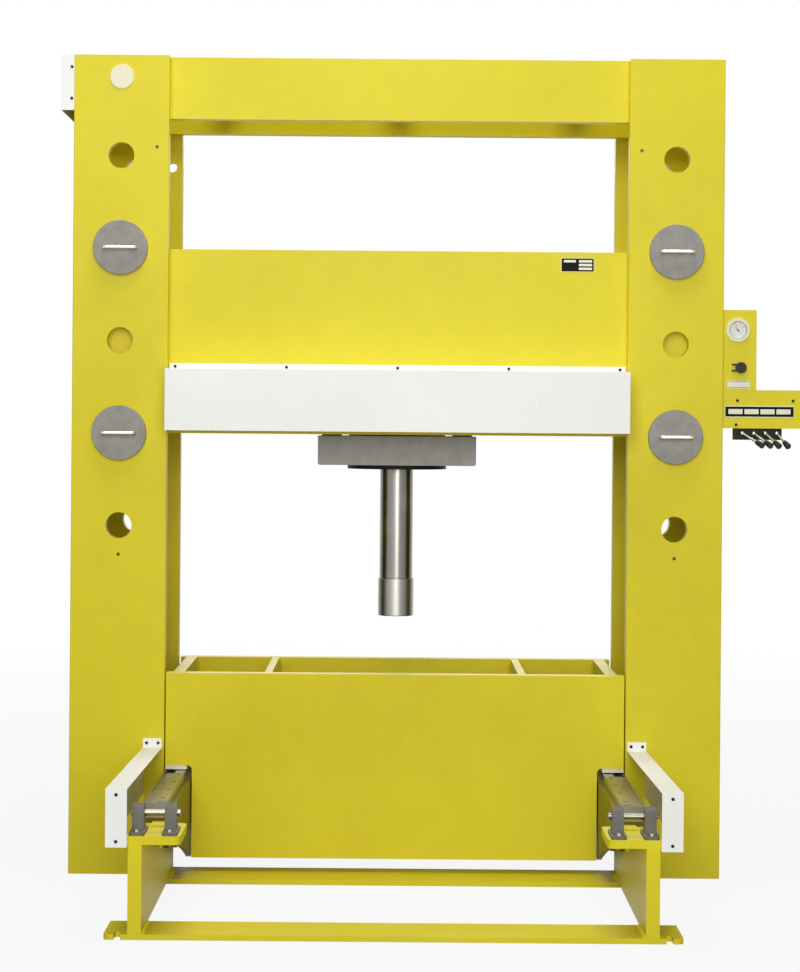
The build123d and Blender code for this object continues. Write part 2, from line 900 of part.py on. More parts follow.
def pillow_bolts():
    """Hexagon bolts that hold the pillow blocks' feet."""
    foot_top = shelf_top + pillow_base_height
    parts = []
    for centre in (inner_block_centre, outer_block_centre):
        for side in (-1, 1):
            y = shaft_y + side * pillow_bolt_spacing / 2
            head = Pos(centre, y) * RegularPolygon(pillow_bolt_flats / 2, 6, major_radius=False)
            shank = rod_z(centre, y, shelf_top, foot_top, pillow_bolt_diameter)
            parts.append(plate_xy(head, foot_top, pillow_bolt_head) + shank)
    return parts + [mirrored(part) for part in parts]


def front_shaft():
    """The bright shaft that turns in the right pillow blocks."""
    left = shelf_inner + shaft_inner_margin
    right = shelf_outer - shaft_outer_margin
    bar = rod_x(shaft_y, shaft_z, left, right, shaft_diameter)
    return chamfer(bar.edges().filter_by(GeomType.CIRCLE), shaft_chamfer)


# Guards and other covers

def guard():
    """The right guard: an outer wall, a sloped top, a front, a tab on the column and a front return."""
    low = shelf_outer
    high = low + guard_width
    front_top = guard_bottom + guard_front_height
    rear_top = guard_bottom + guard_rear_height
    rear = -half_depth
    front = -guard_front
    side = Polygon(
        (front, guard_bottom), (rear, guard_bottom), (rear, rear_top), (front, front_top), align=None)
    hollow = Polygon(
        (front + guard_sheet, guard_bottom - guard_sheet), (rear, guard_bottom - guard_sheet),
        (rear, rear_top - guard_sheet), (front + guard_sheet, front_top - guard_sheet), align=None)
    shell = plate_yz(side, low, guard_width) - plate_yz(hollow, low, guard_width - guard_sheet)
    tab = span(low, high, rear_top - guard_sheet, rear_top + guard_tab)
    shell += plate_xz(tab, rear - guard_sheet, guard_sheet)
    shell += plate_yz(span(front, front + guard_return, guard_bottom, shelf_top), low, guard_sheet)
    for x, z, face in guard_screw_places():
        shell -= screw_hole_y(x, z, face)
    return shell


def guard_screw_places():
    """The right guard's screws, those in the column first: X, Z and the face under each head."""
    middle = shelf_outer + guard_width / 2
    tab_z = guard_bottom + guard_rear_height + guard_tab / 2
    tab_face = -half_depth - guard_sheet
    front_low = guard_bottom + guard_screw_margin
    front_high = guard_bottom + guard_front_height - guard_screw_margin
    reach = guard_width / 2 - guard_front_screw_inset
    return [
        (middle - reach, tab_z, tab_face), (middle + reach, tab_z, tab_face),
        (middle, front_low, -guard_front), (middle, front_high, -guard_front),
    ]


def hoist_cover():
    """The white box high on the left column's outer side, open below and towards the column."""
    top = frame_height - hoist_top_gap
    low = top - hoist_height
    left = -outer_x - hoist_width
    box = plate_xz(span(left, -outer_x, low, top), -half_depth, column_depth)
    hollow = span(left + guard_sheet, -outer_x, low - guard_sheet, top - guard_sheet)
    box -= plate_xz(hollow, -half_depth + guard_sheet, column_depth - 2 * guard_sheet)
    for x, z in hoist_screw_places():
        box -= screw_hole_y(x, z, -half_depth)
    return box


def hoist_screw_places():
    """Places of the hoist cover's screws."""
    top = frame_height - hoist_top_gap
    return [(-outer_x - hoist_screw_edge, top - drop) for drop in hoist_screw_margins]


# Control box on the right column

def control_box():
    """A sheet box with a wide lower part and a narrow upper part, open towards the column."""
    step = box_bottom + box_step
    outline = Polygon(
        (outer_x, box_bottom), (outer_x + box_lower_width, box_bottom), (outer_x + box_lower_width, step),
        (outer_x + box_upper_width, step), (outer_x + box_upper_width, box_bottom + box_top),
        (outer_x, box_bottom + box_top), align=None)
    far = [v for v in outline.vertices() if v.X > outer_x + box_sheet]
    outline = fillet(far, box_radius)
    box = plate_xz(outline, -box_face, box_depth)
    inside = offset(outline, -box_sheet)
    box -= plate_xz(inside, -box_face + box_sheet, box_depth - 2 * box_sheet)
    behind = -box_face + box_sheet
    box -= rod_y(outer_x + gauge_x, box_bottom + gauge_height, -box_face, behind, gauge_case_diameter)
    stem = knob_stem + 2 * running_clearance
    box -= rod_y(outer_x + knob_x, box_bottom + knob_height, -box_face, behind, stem)
    for x, z in box_screw_line():
        box -= screw_hole_y(x, z, -box_face)
    return box


def box_screw_line():
    """Places of the screws in the control box's face."""
    return [(outer_x + x, box_bottom + z) for x, z in box_screw_places]


def face_plate(left, bottom, width, height, face):
    """A thin plain plate on a face that looks at the viewer."""
    outline = span(left, left + width, bottom, bottom + height)
    return plate_xz(outline, face - plate_thickness, plate_thickness)


def plain_plates():
    """The plain plates: one on the head and two on the control box."""
    data_left = inner_x - data_plate_inset - data_plate_width / 2
    data_low = pin_top - data_plate_drop - data_plate_height / 2
    head = face_plate(data_left, data_low, data_plate_width, data_plate_height, -head_face)
    label = face_plate(outer_x + label_left, box_bottom + label_bottom, label_width, label_height, -box_face)
    strip = face_plate(outer_x + strip_left, box_bottom + strip_bottom, strip_width, strip_height, -box_face)
    return [head, label, strip]


def on_gauge(part):
    """A part drawn round the Z axis, turned to look at the viewer from the gauge's place."""
    return Pos(outer_x + gauge_x, -box_face, box_bottom + gauge_height) * Rot(90, 0, 0) * part


def gauge_case():
    """A cup behind the box's face with a rounded bezel in front."""
    inner = gauge_case_diameter / 2 - gauge_wall
    profile = Polygon(
        (0, -gauge_case_depth), (gauge_case_diameter / 2, -gauge_case_depth), (gauge_case_diameter / 2, 0),
        (bezel_diameter / 2, 0), (bezel_diameter / 2, bezel_height), (inner, bezel_height),
        (inner, gauge_wall - gauge_case_depth), (0, gauge_wall - gauge_case_depth), align=None)
    cup = revolve(Plane.XZ * profile, Axis.Z)
    rim = cup.edges().filter_by(GeomType.CIRCLE).group_by(Axis.Z)[-1]
    return on_gauge(fillet(rim.sort_by(SortBy.RADIUS)[-1], bezel_edge))


def gauge_disc(top, thickness, hole):
    """A disc across the gauge's cup, with its face below the bezel's rim."""
    disc = Circle(gauge_case_diameter / 2 - gauge_wall)
    if hole:
        disc -= Circle(hole / 2)
    return on_gauge(plate_xy(disc, bezel_height - top - thickness, thickness))


def gauge_dial():
    """The dial, with a hole for the needle's post."""
    return gauge_disc(dial_sink, dial_thickness, needle_post + 2 * running_clearance)


def gauge_glass():
    """The glass in the bezel."""
    return gauge_disc(glass_sink, glass_thickness, 0)


def gauge_needle():
    """The needle with its hub and post."""
    low = bezel_height - dial_sink + needle_gap
    blade = Polygon((-needle_width / 2, 0), (needle_width / 2, 0), (0, needle_length), align=None)
    blade += span(-needle_width / 2, needle_width / 2, -needle_tail, 0)
    needle = plate_xy(blade, low, needle_thickness) + rod_z(0, 0, low, low + 2 * needle_thickness, needle_hub)
    needle += rod_z(0, 0, bezel_height - dial_sink - needle_post_length, low, needle_post)
    return on_gauge(Rot(0, 0, needle_angle) * needle)


def selector_knob():
    """A knob with two horns on its left and a stem through the box's face."""
    knob = Circle(knob_diameter / 2)
    for side in (-1, 1):
        horn = Pos(-knob_horn_reach / 2, side * knob_horn_spread) * SlotOverall(knob_horn_reach, knob_horn)
        knob += horn
    body = plate_xy(knob, knob_skirt, knob_height_out)
    body = fillet(body.edges().group_by(Axis.Z)[-1], knob_edge)
    grip = Rectangle(knob_grip_width, knob_grip_length)
    body += plate_xy(grip, knob_skirt + knob_height_out, knob_grip_height)
    body += rod_z(0, 0, -knob_stem_length, knob_skirt, knob_stem)
    return Pos(outer_x + knob_x, -box_face, box_bottom + knob_height) * Rot(90, 0, 0) * body


def valve_places():
    """Middles of the valve sections along X."""
    return [outer_x + valve_start + (n + 0.5) * valve_pitch for n in range(valve_count)]


def valve_block():
    """Valve sections bolted in a row below the box, each with a bonnet for its lever."""
    left = outer_x + valve_start
    low = box_bottom - valve_height
    block = plate_xz(span(left, left + valve_count * valve_pitch, low, box_bottom), -valve_face, valve_depth)
    for n in range(1, valve_count):
        groove_left = left + n * valve_pitch - valve_groove / 2
        groove_right = groove_left + valve_groove
        upright = span(groove_left, groove_right, low, box_bottom)
        block -= plate_xz(upright, -valve_face, valve_groove)
        block -= plate_xz(upright, valve_depth - valve_face - valve_groove, valve_groove)
        block -= plate_xz(span(groove_left, groove_right, low, low + valve_groove), -valve_face, valve_depth)
    for x in valve_places():
        block += rod_y(x, lever_z, -valve_face - bonnet_length, -valve_face, bonnet_diameter)
    return block


def valve_lever(number):
    """A bright lever that leans to the right, with a ball at its pivot and a black knob."""
    start = Vector(valve_places()[number], lever_y, lever_z)
    way = Vector(lever_leans[number], -lever_reach, -lever_drop)
    plane = Plane(origin=start, z_dir=way)
    length = way.length
    rod = extrude(plane * Circle(lever_rod / 2), amount=length)
    tip = Plane(origin=start + way, z_dir=way)
    low = Circle(lever_knob_diameter / 2)
    knob = loft([tip * Circle(lever_knob_tip / 2), tip.offset(lever_knob_length) * low])
    knob = fillet(knob.edges().filter_by(GeomType.CIRCLE), lever_knob_edge)
    return Pos(*start) * Sphere(lever_ball / 2) + rod + knob


# All the pieces by name

def sheet_screws():
    """Every pan-head sheet screw."""
    screws = [sheet_screw_y(x, cover_screw_height(), -head_face - cover_sheet) for x in cover_screw_line()]
    for x, z, face in guard_screw_places():
        screws += [sheet_screw_y(x, z, face), sheet_screw_y(-x, z, face)]
    screws += [sheet_screw_y(x, z, -half_depth) for x, z in hoist_screw_places()]
    return screws + [sheet_screw_y(x, z, -box_face) for x, z in box_screw_line()]


def pillow_blocks():
    """The four pillow blocks."""
    right = [pillow_block(centre) for centre in (inner_block_centre, outer_block_centre)]
    return right + [mirrored(part) for part in right]


def pairs():
    """Pieces that stand on both sides, drawn on the right."""
    return {
        "column_front_plate": column_front_plate(),
        "column_web": column_web(),
        "rail": rail(),
        "rail_support": rail_support(),
        "side_frame": side_frame(),
        "guard": guard(),
        "front_shaft": front_shaft(),
    }


def pieces():
    """Every node of the press."""
    nodes = {}
    for name, part in pairs().items():
        nodes[name + "_right"] = part
        nodes[name + "_left"] = mirrored(part)
    nodes["column_rear_plate_right"] = column_rear_plate()
    nodes["column_rear_plate_left"] = column_rear_plate_left()
    nodes["column_plug"] = column_plug()
    nodes["beam_front_plate"] = beam_front_plate()
    nodes["beam_rear_plate"] = beam_rear_plate()
    nodes["head_front_plate"] = head_front_plate()
    nodes["head_rear_plate"] = head_rear_plate()
    nodes["head_tubes"] = head_spacers()
    nodes["head_cover"] = head_cover()
    nodes["sheet_screws"] = sheet_screws()
    nodes["rail_screws"] = rail_screws()
    nodes["front_cross_plate"] = front_cross_plate()
    nodes["rear_cross_plate"] = rear_cross_plate()
    nodes["pillow_blocks"] = pillow_blocks()
    nodes["pillow_bolts"] = pillow_bolts()
    nodes["hoist_cover"] = hoist_cover()
    nodes["control_box"] = control_box()
    nodes["plain_plates"] = plain_plates()
    nodes["gauge_case"] = gauge_case()
    nodes["gauge_dial"] = gauge_dial()
    nodes["gauge_glass"] = gauge_glass()
    nodes["gauge_needle"] = gauge_needle()
    nodes["selector_knob"] = selector_knob()
    nodes["valve_block"] = valve_block()
    nodes["carriage_block"] = carriage_block()
    nodes["carriage_shoes"] = carriage_shoes()
    nodes["cylinder_barrel"] = cylinder_barrel()
    nodes["cylinder_gland"] = cylinder_gland()
    nodes["ram_rod"] = ram_rod()
    nodes["ram_nose"] = ram_nose()
    nodes["table_front_plate"] = table_front_plate()
    nodes["table_rear_plate"] = plate_xz(table_outline(), table_front - table_plate, table_plate)
    nodes["table_walls"] = table_walls()
    nodes["table_wipers"] = table_wipers()
    for place, side in (("front", -1), ("rear", 1)):
        nodes["roller_" + place + "_right"] = roller(side)
        nodes["roller_" + place + "_left"] = mirrored(roller(side))
    for row, height in (("upper", pin_top), ("lower", pin_bottom)):
        nodes["pin_" + row + "_right"] = pin(pin_x, height)
        nodes["pin_" + row + "_left"] = pin(-pin_x, height)
    for n in range(valve_count):
        nodes["valve_lever_" + str(n + 1)] = valve_lever(n)
    return nodes


os.makedirs("parts", exist_ok=True)
for name, part in pieces().items():
    if isinstance(part, list):
        part = Compound(children=[solid for item in part for solid in item.solids()])
    export_step(part, "parts/" + name + ".step")
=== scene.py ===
import json
import math

import bmesh
import bpy
from mathutils import Matrix, Vector


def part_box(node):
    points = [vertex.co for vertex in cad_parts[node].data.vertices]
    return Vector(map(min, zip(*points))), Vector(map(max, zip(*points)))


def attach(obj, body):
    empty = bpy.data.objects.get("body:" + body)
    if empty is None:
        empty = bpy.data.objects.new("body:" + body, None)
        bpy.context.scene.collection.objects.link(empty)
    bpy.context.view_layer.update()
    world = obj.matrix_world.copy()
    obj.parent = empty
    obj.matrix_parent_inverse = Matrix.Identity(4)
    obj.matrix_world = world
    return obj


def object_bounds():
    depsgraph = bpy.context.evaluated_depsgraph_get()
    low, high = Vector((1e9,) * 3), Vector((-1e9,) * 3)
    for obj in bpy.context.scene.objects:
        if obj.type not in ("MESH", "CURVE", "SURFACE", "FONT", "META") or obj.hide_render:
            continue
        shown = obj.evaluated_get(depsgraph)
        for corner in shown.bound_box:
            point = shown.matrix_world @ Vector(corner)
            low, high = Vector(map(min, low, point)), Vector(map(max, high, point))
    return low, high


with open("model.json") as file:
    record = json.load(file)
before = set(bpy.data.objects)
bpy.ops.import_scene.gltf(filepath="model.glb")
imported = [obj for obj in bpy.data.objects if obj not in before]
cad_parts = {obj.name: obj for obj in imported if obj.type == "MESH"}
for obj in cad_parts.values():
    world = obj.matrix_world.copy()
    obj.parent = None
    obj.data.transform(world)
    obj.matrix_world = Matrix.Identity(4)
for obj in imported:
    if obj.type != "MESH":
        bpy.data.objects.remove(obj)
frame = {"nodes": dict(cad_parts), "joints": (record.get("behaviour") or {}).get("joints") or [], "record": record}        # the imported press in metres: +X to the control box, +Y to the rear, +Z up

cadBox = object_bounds()
nodes = frame["nodes"]
scene = bpy.context.scene
print("frame loaded:", len(nodes), "nodes")


# Shader maths

class Wire:
    def __init__(self, tree, socket):
        self.tree = tree
        self.socket = socket

    def calc(self, operation, other, flipped=False):
        node = self.tree.nodes.new("ShaderNodeMath")
        node.operation = operation
        for slot, value in enumerate((other, self) if flipped else (self, other)):
            if isinstance(value, Wire):
                self.tree.links.new(value.socket, node.inputs[slot])
            else:
                node.inputs[slot].default_value = value
        return Wire(self.tree, node.outputs[0])

    def __add__(self, other):
        return self.calc("ADD", other)

    def __radd__(self, other):
        return self.calc("ADD", other, True)

    def __sub__(self, other):
        return self.calc("SUBTRACT", other)

    def __rsub__(self, other):
        return self.calc("SUBTRACT", other, True)

    def __mul__(self, other):
        return self.calc("MULTIPLY", other)

    def __rmul__(self, other):
        return self.calc("MULTIPLY", other, True)

    def __gt__(self, other):
        return self.calc("GREATER_THAN", other)

    def __lt__(self, other):
        return self.calc("LESS_THAN", other)


class Finish:
    def __init__(self, name, **constants):
        self.material = bpy.data.materials.new(name)
        self.material.use_nodes = True
        self.tree = self.material.node_tree
        self.shader = self.tree.nodes["Principled BSDF"]
        for socket, value in constants.items():
            self.shader.inputs[socket.replace("_", " ")].default_value = value
        self.place = self.add("ShaderNodeTexCoord", {}, {}, "Object")

    def add(self, kind, settings, sockets, output=0):
        node = self.tree.nodes.new(kind)
        for key, value in settings.items():
            if key == "stops":
                self.setStops(node.color_ramp, value)
            else:
                setattr(node, key, value)
        for key, value in sockets.items():
            self.feed(node.inputs[key], value)
        return Wire(self.tree, node.outputs[output])

    def setStops(self, ramp, stops):
        for position, shade in stops[2:]:
            ramp.elements.new(position)
        for element, (position, shade) in zip(ramp.elements, stops):
            element.position = position
            element.color = (shade, shade, shade, 1)

    def feed(self, socket, value):
        if isinstance(value, Wire):
            self.tree.links.new(value.socket, socket)
        else:
            socket.default_value = value

    def noise(self, scale, detail=3.0, rough=0.5, stretch=(1, 1, 1)):
        point = self.add("ShaderNodeMapping", {}, {"Vector": self.place, "Scale": stretch})
        sockets = {"Vector": point, "Scale": scale, "Detail": detail, "Roughness": rough}
        return self.add("ShaderNodeTexNoise", {}, sockets)

    def curve(self, value, stops):
        return self.add("ShaderNodeValToRGB", {"stops": stops}, {"Fac": value})

    def mix(self, factor, first, second):
        # 0, 6 and 7 are the Mix node's factor and its two colours, and output 2 is its colour
        return self.add("ShaderNodeMix", {"data_type": "RGBA"}, {0: factor, 6: first, 7: second}, 2)

    def axis(self, letter):
        return self.add("ShaderNodeSeparateXYZ", {}, {"Vector": self.place}, letter)

    def reach(self, point):
        sockets = {0: self.place, 1: point}
        return self.add("ShaderNodeVectorMath", {"operation": "DISTANCE"}, sockets, "Value")

    def bump(self, height, distance, strength=0.5):
        return self.add("ShaderNodeBump", {}, {"Height": height, "Distance": distance, "Strength": strength})

    def wear(self, **links):
        for socket, value in links.items():
            self.feed(self.shader.inputs[socket.replace("_", " ")], value)
        return self.material


def tint(red, green, blue):
    # a colour as a picture editor shows it, 0 to 255, by the sRGB curve
    def one(value):
        value /= 255
        return value / 12.92 if value <= 0.04045 else ((value + 0.055) / 1.055) ** 2.4
    return (one(red), one(green), one(blue), 1)


# Paints. A noise is given as its scale, detail, roughness and stretch.

yellowLook = {
    "colour": (226, 212, 32), "shade": (216, 200, 25), "dust": (192, 179, 55),
    "clouds": (1.3, 4, 0.55), "mottle": (14, 5, 0.6), "cloudShare": 0.7, "tone": [(0.36, 0), (0.64, 1)],
    "dustTop": 0.5, "dustCurve": [(0.45, 0), (0.95, 0.35)],
    "roughness": 0.36, "patchy": 0.14, "dustRough": 0.2,
    "peel": (420, 2), "runs": (9, 3, 0.5, (1, 1, 0.25)), "peelShare": 0.5, "depth": 0.00024,
}
# a darker copy of the yellow paint: painted shade, standing for the shadow on the rail supports' inner sides
shadedYellowLook = dict(yellowLook, colour=(120, 108, 22), shade=(84, 74, 14), dust=(96, 88, 40), roughness=0.3)


def makeYellow(name, look):
    paint = Finish(name, Specular_IOR_Level=0.22)
    clouds = paint.noise(*look["clouds"])
    mottle = paint.noise(*look["mottle"])
    share = look["cloudShare"]
    tone = paint.curve(clouds * share + mottle * (1 - share), look["tone"])
    colour = paint.mix(tone, tint(*look["shade"]), tint(*look["colour"]))
    low = (look["dustTop"] - paint.axis("Z")) * (1 / look["dustTop"])        # 1 on the floor
    dust = paint.curve((low + mottle) * 0.5, look["dustCurve"])
    colour = paint.mix(dust, colour, tint(*look["dust"]))
    peel = paint.noise(*look["peel"])
    runs = paint.noise(*look["runs"])
    rough = look["roughness"] + mottle * look["patchy"] + dust * look["dustRough"]
    normal = paint.bump(peel * look["peelShare"] + runs, look["depth"])
    return paint.wear(Base_Color=colour, Roughness=rough, Normal=normal)


whiteLook = {
    "colour": (247, 247, 243), "shade": (240, 240, 235), "smudge": (198, 196, 184),
    "clouds": (2.2, 4, 0.6), "tone": [(0.35, 0), (0.65, 1)],
    "smudges": (22, 6, 0.65), "smudgeCurve": [(0.62, 0), (0.8, 0.18)],
    "roughness": 0.42, "patchy": 0.1, "grain": (900, 2), "depth": 0.00008,
}


def makeWhite():
    look = whiteLook
    paint = Finish("whitePowderCoat", Specular_IOR_Level=0.35)
    clouds = paint.noise(*look["clouds"])
    colour = paint.mix(paint.curve(clouds, look["tone"]), tint(*look["shade"]), tint(*look["colour"]))
    smudge = paint.curve(paint.noise(*look["smudges"]), look["smudgeCurve"])
    colour = paint.mix(smudge, colour, tint(*look["smudge"]))
    rough = look["roughness"] + clouds * look["patchy"]
    normal = paint.bump(paint.noise(*look["grain"]), look["depth"])
    return paint.wear(Base_Color=colour, Roughness=rough, Normal=normal)


greyLook = {
    "colour": (146, 144, 136), "shade": (130, 128, 120),
    "mottle": (30, 5, 0.6), "tone": [(0.34, 0), (0.66, 1)],
    "roughness": 0.44, "patchy": 0.12, "dimpleScale": 260, "dimpleSoft": 0.8, "depth": 0.00018,
}


def hammerGrey(paint):
    # the colour, roughness and dimples of hammer paint
    look = greyLook
    sockets = {"Vector": paint.place, "Scale": look["dimpleScale"], "Smoothness": look["dimpleSoft"]}
    dimples = paint.add("ShaderNodeTexVoronoi", {"feature": "SMOOTH_F1"}, sockets, "Distance")
    mottle = paint.noise(*look["mottle"])
    tone = paint.curve(mottle, look["tone"])
    colour = paint.mix(tone, tint(*look["shade"]), tint(*look["colour"]))
    return colour, look["roughness"] + mottle * look["patchy"], dimples


def makeGrey():
    paint = Finish("greyHammerPaint", Specular_IOR_Level=0.4)
    colour, rough, dimples = hammerGrey(paint)
    return paint.wear(Base_Color=colour, Roughness=rough, Normal=paint.bump(dimples, greyLook["depth"]))


pinLook = {
    "seatY": -0.3053, "capFaceY": -0.3256,        # painted between these, bare steel outside
    "dark": (118, 114, 104), "shank": (150, 146, 136), "pull": (226, 226, 222),
    "turned": (60, 4, 0.6, (1, 24, 1)), "bareRough": 0.14, "bareRange": 0.25,
}


def makePin():
    look = pinLook
    pin = Finish("paintedPin", Specular_IOR_Level=0.4)
    colour, rough, dimples = hammerGrey(pin)
    depth = pin.axis("Y")
    behind = depth > look["seatY"]
    before = depth < look["capFaceY"]
    turned = pin.noise(*look["turned"])
    colour = pin.mix(behind, colour, pin.mix(turned, tint(*look["dark"]), tint(*look["shank"])))
    colour = pin.mix(before, colour, tint(*look["pull"]))
    bare = behind + before
    painted = 1 - bare
    rough = rough * painted + bare * (turned * look["bareRange"] + look["bareRough"])
    normal = pin.bump(dimples * painted, greyLook["depth"])
    return pin.wear(Base_Color=colour, Metallic=bare, Roughness=rough, Normal=normal)


castLook = {
    "dark": (84, 81, 72), "light": (116, 113, 103), "clouds": (18, 4, 0.6), "pits": (160, 5, 0.65),
    "depth": 0.0004, "roughness": 0.42, "patchy": 0.25,
}


def makeCast():
    look = castLook
    cast = Finish("paintedCasting", Specular_IOR_Level=0.35)
    pits = cast.noise(*look["pits"])
    colour = cast.mix(cast.noise(*look["clouds"]), tint(*look["dark"]), tint(*look["light"]))
    rough = look["roughness"] + pits * look["patchy"]
    return cast.wear(Base_Color=colour, Roughness=rough, Normal=cast.bump(pits, look["depth"]))


# Metals

steelLooks = {
    "rail": {"name": "groundRail", "dark": (128, 124, 112), "light": (176, 172, 158), "rough": 0.26,
             "stretch": (20, 1, 1), "stain": 0.4},
    "zinc": {"name": "dullZinc", "dark": (146, 142, 128), "light": (186, 182, 168), "rough": 0.38,
             "stretch": (1, 1, 1), "stain": 0.2},
    "bronze": {"name": "bearingBronze", "dark": (150, 112, 58), "light": (190, 148, 84), "rough": 0.3,
               "stretch": (20, 1, 1), "stain": 0.2},
}
steelMarks = {
    "lines": (90, 4, 0.6), "patches": (11, 5, 0.62),
    "stainStart": 0.56, "stainFull": 0.78, "stainColour": (92, 84, 66),
    "lineRough": 0.14, "stainRough": 0.3, "depth": 0.00005,
}


def makeSteel(look):
    marks = steelMarks
    steel = Finish(look["name"], Metallic=1.0)
    lines = steel.noise(*marks["lines"], look["stretch"])
    patches = steel.noise(*marks["patches"])
    colour = steel.mix((lines + patches) * 0.5, tint(*look["dark"]), tint(*look["light"]))
    stain = steel.curve(patches, [(marks["stainStart"], 0), (marks["stainFull"], look["stain"])])
    colour = steel.mix(stain, colour, tint(*marks["stainColour"]))
    rough = look["rough"] + lines * marks["lineRough"] + stain * marks["stainRough"]
    return steel.wear(Base_Color=colour, Roughness=rough, Normal=steel.bump(lines, marks["depth"]))


ramLook = {
    "bands": 4, "bandTurn": 0.5,        # soft light and dark bands of painted reflection round the ram, and where they start
    "rodDark": (112, 110, 104), "rodLight": (146, 146, 138), "rodRough": 0.18, "rodPatchy": 0.1,
    "rodRings": (26, 3, 0.5, (1, 1, 14)), "drags": (40, 4, 0.6, (3, 3, 0.15)), "dragShare": 0.15,
    "oil": (168, 165, 150), "oilPatches": (7, 4, 0.6), "oilCurve": [(0.5, 0), (0.75, 0.5)],
    "noseDark": (120, 118, 112), "noseLight": (174, 173, 167), "noseRough": 0.28, "nosePatchy": 0.14,
    "noseRings": (90, 4, 0.6, (1, 1, 18)), "ringShare": 0.2,
    "depth": 0.00005,
}


# painted reflection: light and dark bands by angle round the ram's axis, standing for the room's reflection
# in the metal
def reflectionBands(steel):
    turn = steel.axis("Y").calc("ARCTAN2", steel.axis("X"))
    return (turn * ramLook["bands"] + ramLook["bandTurn"]).calc("COSINE", 0) * 0.5 + 0.5


def makeRod():
    look = ramLook
    rod = Finish("hardChrome", Metallic=1.0)
    rings = rod.noise(*look["rodRings"])
    drags = rod.noise(*look["drags"])
    # the rod's colour is mostly the painted reflection bands, with some drag marks
    tone = reflectionBands(rod) * (1 - look["dragShare"]) + drags * look["dragShare"]
    colour = rod.mix(tone, tint(*look["rodDark"]), tint(*look["rodLight"]))
    oil = rod.curve(rod.noise(*look["oilPatches"]), look["oilCurve"])
    colour = rod.mix(oil, colour, tint(*look["oil"]))
    rough = look["rodRough"] + (drags + oil) * look["rodPatchy"]
    return rod.wear(Base_Color=colour, Roughness=rough, Normal=rod.bump(rings, look["depth"]))


def makeNose():
    look = ramLook
    nose = Finish("turnedNose", Metallic=1.0)
    rings = nose.noise(*look["noseRings"])
    # the nose carries the same painted reflection bands, with some turning rings
    tone = reflectionBands(nose) * (1 - look["ringShare"]) + rings * look["ringShare"]
    colour = nose.mix(tone, tint(*look["noseDark"]), tint(*look["noseLight"]))
    rough = look["noseRough"] + rings * look["nosePatchy"]
    return nose.wear(Base_Color=colour, Roughness=rough, Normal=nose.bump(rings, look["depth"]))


# Plastics, prints and glass

plainLooks = {
    "black": {"name": "blackSteel", "dark": (22, 22, 22), "light": (38, 38, 37), "rough": 0.42,
              "grain": 0.00006, "shine": 0.15},
    "blackPlastic": {"name": "blackPlastic", "dark": (16, 16, 16), "light": (28, 28, 27), "rough": 0.3,
                     "grain": 0.00005, "shine": 0.2},
    "plug": {"name": "creamPlastic", "dark": (214, 208, 168), "light": (232, 228, 196), "rough": 0.3,
             "grain": 0.00005, "shine": 0.5},
    "card": {"name": "dialCard", "dark": (228, 227, 218), "light": (242, 241, 234), "rough": 0.6,
             "grain": 0.00003, "shine": 0.2},
    "pale": {"name": "palePlate", "dark": (222, 220, 196), "light": (236, 234, 214), "rough": 0.35,
             "grain": 0.00003, "shine": 0.4},
    "ink": {"name": "printInk", "dark": (18, 18, 17), "light": (30, 30, 28), "rough": 0.6,
            "grain": 0.00002, "shine": 0.08},
}
plainMarks = {"clouds": (34, 4, 0.6), "grain": (700, 2), "patchy": 0.12}


def makePlain(look):
    plain = Finish(look["name"], Specular_IOR_Level=look["shine"])
    clouds = plain.noise(*plainMarks["clouds"])
    grain = plain.noise(*plainMarks["grain"])
    colour = plain.mix(clouds, tint(*look["dark"]), tint(*look["light"]))
    rough = look["rough"] + clouds * plainMarks["patchy"]
    return plain.wear(Base_Color=colour, Roughness=rough, Normal=plain.bump(grain, look["grain"]))


leverLook = {
    "rodDark": (170, 170, 166), "rodLight": (216, 216, 212),
    "gripDark": (24, 24, 24), "gripLight": (42, 42, 41),
    "gripStart": 0.615,        # where the black grip begins, as a share of the lever's reach
    "clouds": (60, 4, 0.6), "rough": 0.24, "patchy": 0.16,
}


def makeLever(number):
    look = leverLook
    joint = [j for j in frame["joints"] if j["name"] == "valve_lever_%d_tilt" % number][0]
    pivot = Vector(joint["pos_m"])
    low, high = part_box("valve_lever_%d" % number)
    tip = Vector((high.x, low.y, low.z))
    lever = Finish("leverFinish%d" % number, Specular_IOR_Level=0.3)
    grip = lever.reach(tuple(pivot)) > (tip - pivot).length * look["gripStart"]
    clouds = lever.noise(*look["clouds"])
    steel = lever.mix(clouds, tint(*look["rodDark"]), tint(*look["rodLight"]))
    black = lever.mix(clouds, tint(*look["gripDark"]), tint(*look["gripLight"]))
    return lever.wear(Base_Color=lever.mix(grip, steel, black), Metallic=1 - grip,
                      Roughness=look["rough"] + clouds * look["patchy"])


glassLook = {"clean": (250, 252, 252), "smear": (236, 242, 242), "smears": (50, 4, 0.6)}


def makeGlass():
    look = glassLook
    glass = Finish("gaugeGlass", Alpha=0.05, Roughness=0.04, IOR=1.5, Specular_IOR_Level=0.3)
    smears = glass.noise(*look["smears"])
    return glass.wear(Base_Color=glass.mix(smears, tint(*look["smear"]), tint(*look["clean"])))


finishes = {
    "yellow": makeYellow("yellowEnamel", yellowLook),
    "shadedYellow": makeYellow("shadedYellowEnamel", shadedYellowLook),
    "white": makeWhite(),
    "grey": makeGrey(),
    "pin": makePin(),
    "cast": makeCast(),
    "rod": makeRod(),
    "nose": makeNose(),
    "glass": makeGlass(),
}
for key, look in steelLooks.items():
    finishes[key] = makeSteel(look)
for key, look in plainLooks.items():
    finishes[key] = makePlain(look)
print("finishes made:", len(finishes))

